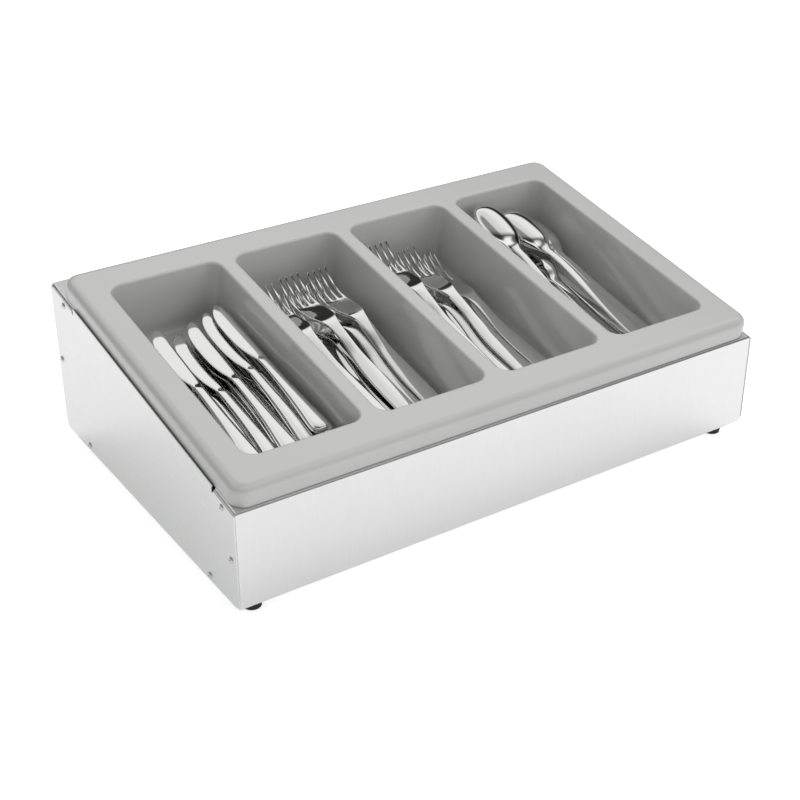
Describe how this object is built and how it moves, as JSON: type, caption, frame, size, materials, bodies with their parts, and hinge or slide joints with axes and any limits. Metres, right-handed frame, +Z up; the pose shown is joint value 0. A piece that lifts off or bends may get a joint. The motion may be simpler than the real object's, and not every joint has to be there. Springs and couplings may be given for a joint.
{
  "type": "cutlery dispenser",
  "caption": "Countertop cutlery dispenser: a sloping folded steel stand carries a lift-out moulded tray whose open pockets hold loose knives, forks and spoons.",
  "frame": {"origin": "on the surface it stands on, under the middle of the stand", "axes": "+X along the front to the right, +Y from front to back, +Z up"},
  "size_m": [0.5376, 0.342, 0.1747],
  "materials": {
    "stand_steel": "fine brushed stainless sheet",
    "rivet_metal": "plain blind rivets",
    "zinc_steel": "zinc plated fasteners",
    "foot_rubber": "matt black",
    "tray_plastic": "light grey moulded plastic with a soft sheen",
    "cutlery_steel": "mirror polished stainless steel"
  },
  "bodies": {
    "stand": {"front_panel": "stand_steel", "back_panel": "stand_steel", "side_panel_left": "stand_steel", "side_panel_right": "stand_steel", "bottom_plate": "stand_steel", "side_rivets_left": "rivet_metal", "side_rivets_right": "rivet_metal", "rubber_foot_front_left": "foot_rubber", "rubber_foot_front_right": "foot_rubber", "rubber_foot_back_left": "foot_rubber", "rubber_foot_back_right": "foot_rubber", "foot_screws": "zinc_steel", "foot_nuts": "zinc_steel"},
    "tray": {"cutlery_tray": "tray_plastic"},
    "knives_lower": {"knife_lower_1": "cutlery_steel", "knife_lower_2": "cutlery_steel", "knife_lower_3": "cutlery_steel", "knife_lower_4": "cutlery_steel", "knife_lower_5": "cutlery_steel", "knife_lower_6": "cutlery_steel", "knife_lower_7": "cutlery_steel", "knife_lower_8": "cutlery_steel", "knife_lower_9": "cutlery_steel", "knife_lower_10": "cutlery_steel", "knife_lower_11": "cutlery_steel", "knife_lower_12": "cutlery_steel", "knife_lower_13": "cutlery_steel"},
    "forks_lower_left": {"fork_lower_1": "cutlery_steel", "fork_lower_2": "cutlery_steel", "fork_lower_3": "cutlery_steel", "fork_lower_4": "cutlery_steel", "fork_lower_5": "cutlery_steel", "fork_lower_6": "cutlery_steel", "fork_lower_7": "cutlery_steel"},
    "forks_lower_right": {"fork_lower_8": "cutlery_steel", "fork_lower_9": "cutlery_steel", "fork_lower_10": "cutlery_steel", "fork_lower_11": "cutlery_steel", "fork_lower_12": "cutlery_steel"},
    "spoons_lower": {"spoon_lower_1": "cutlery_steel", "spoon_lower_2": "cutlery_steel", "spoon_lower_3": "cutlery_steel"},
    "knife_top_1": {"knife_top_1": "cutlery_steel"},
    "knife_top_2": {"knife_top_2": "cutlery_steel"},
    "knife_top_3": {"knife_top_3": "cutlery_steel"},
    "knife_top_4": {"knife_top_4": "cutlery_steel"},
    "fork_top_1": {"fork_top_1": "cutlery_steel"},
    "fork_top_2": {"fork_top_2": "cutlery_steel"},
    "fork_top_3": {"fork_top_3": "cutlery_steel"},
    "fork_top_4": {"fork_top_4": "cutlery_steel"},
    "fork_top_5": {"fork_top_5": "cutlery_steel"},
    "fork_top_6": {"fork_top_6": "cutlery_steel"},
    "spoon_top_3": {"spoon_top_3": "cutlery_steel"},
    "spoon_top_2": {"spoon_top_2": "cutlery_steel"},
    "spoon_top_1": {"spoon_top_1": "cutlery_steel"}
  },
  "joints": [
    {"name": "tray_lift", "type": "slide", "parent": "stand", "child": "tray", "axis": [0, -0.1672, 0.9859], "range_m": [0, 0.08]},
    {"name": "knives_lower_lift", "type": "slide", "parent": "tray", "child": "knives_lower", "axis": [0, -0.1672, 0.9859], "range_m": [0, 0.1]},
    {"name": "forks_lower_left_lift", "type": "slide", "parent": "tray", "child": "forks_lower_left", "axis": [0, -0.1672, 0.9859], "range_m": [0, 0.1]},
    {"name": "forks_lower_right_lift", "type": "slide", "parent": "tray", "child": "forks_lower_right", "axis": [0, -0.1672, 0.9859], "range_m": [0, 0.1]},
    {"name": "spoons_lower_lift", "type": "slide", "parent": "tray", "child": "spoons_lower", "axis": [0, -0.1672, 0.9859], "range_m": [0, 0.1]},
    {"name": "knife_top_1_lift", "type": "slide", "parent": "knives_lower", "child": "knife_top_1", "axis": [0, -0.1672, 0.9859], "range_m": [0, 0.1]},
    {"name": "knife_top_2_lift", "type": "slide", "parent": "knives_lower", "child": "knife_top_2", "axis": [0, -0.1672, 0.9859], "range_m": [0, 0.1]},
    {"name": "knife_top_3_lift", "type": "slide", "parent": "knives_lower", "child": "knife_top_3", "axis": [0, -0.1672, 0.9859], "range_m": [0, 0.1]},
    {"name": "knife_top_4_lift", "type": "slide", "parent": "knives_lower", "child": "knife_top_4", "axis": [0, -0.1672, 0.9859], "range_m": [0, 0.1]},
    {"name": "fork_top_1_lift", "type": "slide", "parent": "forks_lower_left", "child": "fork_top_1", "axis": [0, -0.1672, 0.9859], "range_m": [0, 0.1]},
    {"name": "fork_top_2_lift", "type": "slide", "parent": "forks_lower_left", "child": "fork_top_2", "axis": [0, -0.1672, 0.9859], "range_m": [0, 0.1]},
    {"name": "fork_top_3_lift", "type": "slide", "parent": "forks_lower_left", "child": "fork_top_3", "axis": [0, -0.1672, 0.9859], "range_m": [0, 0.1]},
    {"name": "fork_top_4_lift", "type": "slide", "parent": "forks_lower_right", "child": "fork_top_4", "axis": [0, -0.1672, 0.9859], "range_m": [0, 0.1]},
    {"name": "fork_top_5_lift", "type": "slide", "parent": "forks_lower_right", "child": "fork_top_5", "axis": [0, -0.1672, 0.9859], "range_m": [0, 0.1]},
    {"name": "fork_top_6_lift", "type": "slide", "parent": "forks_lower_right", "child": "fork_top_6", "axis": [0, -0.1672, 0.9859], "range_m": [0, 0.1]},
    {"name": "spoon_top_3_lift", "type": "slide", "parent": "spoons_lower", "child": "spoon_top_3", "axis": [0, -0.1672, 0.9859], "range_m": [0, 0.1]},
    {"name": "spoon_top_2_lift", "type": "slide", "parent": "spoon_top_3", "child": "spoon_top_2", "axis": [0, -0.1672, 0.9859], "range_m": [0, 0.08]},
    {"name": "spoon_top_1_lift", "type": "slide", "parent": "spoon_top_2", "child": "spoon_top_1", "axis": [0, -0.1672, 0.9859], "range_m": [0, 0.08]}
  ]
}
